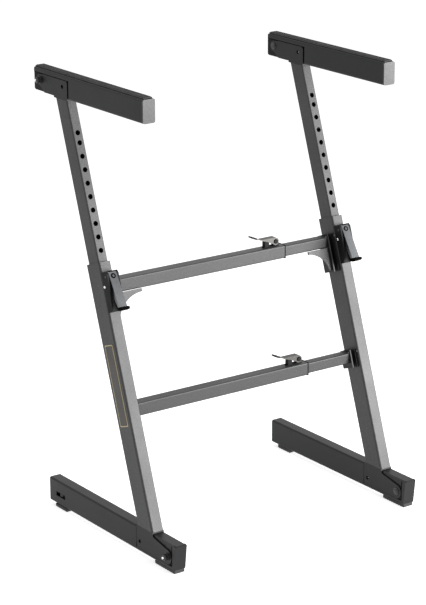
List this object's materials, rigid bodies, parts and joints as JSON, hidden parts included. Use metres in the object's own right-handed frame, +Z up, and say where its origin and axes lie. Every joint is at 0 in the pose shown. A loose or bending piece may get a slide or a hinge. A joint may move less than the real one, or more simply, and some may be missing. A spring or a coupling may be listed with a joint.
{
  "type": "keyboard_stand",
  "caption": "Folding keyboard stand of black square tube: two leaning side frames with height-adjustable arms, folding feet and telescopic crossbars",
  "frame": {"origin": "on the floor, under the middle of the stand", "axes": "+X left to right frame, -Y front, +Z up"},
  "size_m": [0.6626, 0.51, 0.98],
  "materials": {
    "frame_paint": "fine-textured satin black powder coat",
    "moulded": "matt moulded",
    "rubber": "matt",
    "bright_steel": "zinc-plated",
    "dark_steel": "blackened fastener",
    "chrome": "polished"
  },
  "bodies": {
    "left_lower_frame": {"left_outer_leg": "frame_paint", "left_leg_bush": "moulded", "left_lock_housing": "frame_paint", "left_lever_pivot": "bright_steel", "left_foot_bracket": "frame_paint", "left_foot_bolt": "dark_steel", "left_gusset": "frame_paint", "upper_sleeve": "frame_paint", "lower_sleeve": "frame_paint", "upper_clamp_saddle": "moulded", "lower_clamp_saddle": "moulded", "clamp_pins": "bright_steel"},
    "right_lower_frame": {"right_outer_leg": "frame_paint", "right_leg_bush": "moulded", "right_lock_housing": "frame_paint", "right_lever_pivot": "bright_steel", "right_foot_bracket": "frame_paint", "right_foot_bolt": "dark_steel", "right_gusset": "frame_paint", "upper_inner_bar": "frame_paint", "lower_inner_bar": "frame_paint", "upper_bar_bracket": "frame_paint", "lower_bar_bracket": "frame_paint"},
    "left_upper_leg": {"left_inner_leg": "frame_paint", "left_arm_bracket": "frame_paint", "left_arm_bolt": "dark_steel"},
    "left_lock_lever": {"left_lock_lever": "bright_steel", "left_lever_grip": "moulded"},
    "left_lock_pin": {"left_lock_pin": "bright_steel"},
    "left_arm": {"left_arm_tube": "frame_paint", "left_arm_block": "moulded", "left_arm_pad": "rubber", "left_arm_cap": "moulded"},
    "left_foot": {"left_foot_tube": "frame_paint", "left_toe_block": "moulded", "left_toe_pad": "rubber", "left_foot_cap": "moulded"},
    "left_arm_button": {"left_arm_button": "chrome"},
    "left_foot_button": {"left_foot_button": "chrome"},
    "right_upper_leg": {"right_inner_leg": "frame_paint", "right_arm_bracket": "frame_paint", "right_arm_bolt": "dark_steel"},
    "right_lock_lever": {"right_lock_lever": "bright_steel", "right_lever_grip": "moulded"},
    "right_lock_pin": {"right_lock_pin": "bright_steel"},
    "right_arm": {"right_arm_tube": "frame_paint", "right_arm_block": "moulded", "right_arm_pad": "rubber", "right_arm_cap": "moulded"},
    "right_foot": {"right_foot_tube": "frame_paint", "right_toe_block": "moulded", "right_toe_pad": "rubber", "right_foot_cap": "moulded", "right_rear_pad": "rubber"},
    "right_arm_button": {"right_arm_button": "chrome"},
    "right_foot_button": {"right_foot_button": "chrome"},
    "levelling_wheel": {"levelling_wheel": "moulded"},
    "levelling_pad": {"left_rear_pad": "rubber"},
    "upper_clamp_lever": {"upper_clamp_lever": "bright_steel"},
    "lower_clamp_lever": {"lower_clamp_lever": "bright_steel"}
  },
  "joints": [
    {"name": "width", "type": "slide", "parent": "left_lower_frame", "child": "right_lower_frame", "axis": [1, 0, 0], "range_m": [-0.055, 0.27]},
    {"name": "left_height", "type": "slide", "parent": "left_lower_frame", "child": "left_upper_leg", "axis": [0, 0.3256, 0.9455], "range_m": [-0.31075, 0]},
    {"name": "left_lever", "type": "hinge", "parent": "left_lower_frame", "child": "left_lock_lever", "pos_m": [-0.305, -0.00994, 0.57909], "axis": [-1, 0, 0], "range_deg": [0, 40], "stiffness_Nm_per_rad": 0.02},
    {"name": "left_pin", "type": "slide", "parent": "left_lower_frame", "child": "left_lock_pin", "axis": [0, -0.9455, 0.3256], "range_m": [0, 0.01]},
    {"name": "left_arm_fold", "type": "hinge", "parent": "left_upper_leg", "child": "left_arm", "pos_m": [-0.305, 0.23, 0.951], "axis": [-1, 0, 0], "range_deg": [0, 105]},
    {"name": "left_foot_fold", "type": "hinge", "parent": "left_lower_frame", "child": "left_foot", "pos_m": [-0.305, -0.224, 0.032], "axis": [-1, 0, 0], "range_deg": [0, 90]},
    {"name": "left_arm_press", "type": "slide", "parent": "left_arm", "child": "left_arm_button", "axis": [-1, 0, 0], "range_m": [0, 0.004], "stiffness_N_per_m": 400},
    {"name": "left_foot_press", "type": "slide", "parent": "left_foot", "child": "left_foot_button", "axis": [-1, 0, 0], "range_m": [0, 0.004], "stiffness_N_per_m": 400},
    {"name": "right_height", "type": "slide", "parent": "right_lower_frame", "child": "right_upper_leg", "axis": [0, 0.3256, 0.9455], "range_m": [-0.31075, 0]},
    {"name": "right_lever", "type": "hinge", "parent": "right_lower_frame", "child": "right_lock_lever", "pos_m": [0.305, -0.00994, 0.57909], "axis": [-1, 0, 0], "range_deg": [0, 40], "stiffness_Nm_per_rad": 0.02},
    {"name": "right_pin", "type": "slide", "parent": "right_lower_frame", "child": "right_lock_pin", "axis": [0, -0.9455, 0.3256], "range_m": [0, 0.01]},
    {"name": "right_arm_fold", "type": "hinge", "parent": "right_upper_leg", "child": "right_arm", "pos_m": [0.305, 0.23, 0.951], "axis": [-1, 0, 0], "range_deg": [0, 105]},
    {"name": "right_foot_fold", "type": "hinge", "parent": "right_lower_frame", "child": "right_foot", "pos_m": [0.305, -0.224, 0.032], "axis": [-1, 0, 0], "range_deg": [0, 90]},
    {"name": "right_arm_press", "type": "slide", "parent": "right_arm", "child": "right_arm_button", "axis": [1, 0, 0], "range_m": [0, 0.004], "stiffness_N_per_m": 400},
    {"name": "right_foot_press", "type": "slide", "parent": "right_foot", "child": "right_foot_button", "axis": [1, 0, 0], "range_m": [0, 0.004], "stiffness_N_per_m": 400},
    {"name": "level_turn", "type": "hinge", "parent": "left_foot", "child": "levelling_wheel", "pos_m": [-0.3065, 0.186, 0.033], "axis": [0, 0, 1], "range_deg": [-2, 1442]},
    {"name": "level_pad", "type": "slide", "parent": "left_foot", "child": "levelling_pad", "axis": [0, 0, -1], "range_m": [0, 0.006]},
    {"name": "upper_clamp", "type": "hinge", "parent": "left_lower_frame", "child": "upper_clamp_lever", "pos_m": [0.137, 0.02166, 0.5735], "axis": [0, 1, 0], "range_deg": [0, 100]},
    {"name": "lower_clamp", "type": "hinge", "parent": "left_lower_frame", "child": "lower_clamp_lever", "pos_m": [0.137, -0.06305, 0.3275], "axis": [0, 1, 0], "range_deg": [0, 100]}
  ],
  "couplings": [
    {"joint": "left_pin", "follows": "left_lever", "m_per_rad": 0.014181},
    {"joint": "right_pin", "follows": "right_lever", "m_per_rad": 0.014181},
    {"joint": "level_turn", "follows": "level_pad", "rad_per_m": 4188.8}
  ]
}
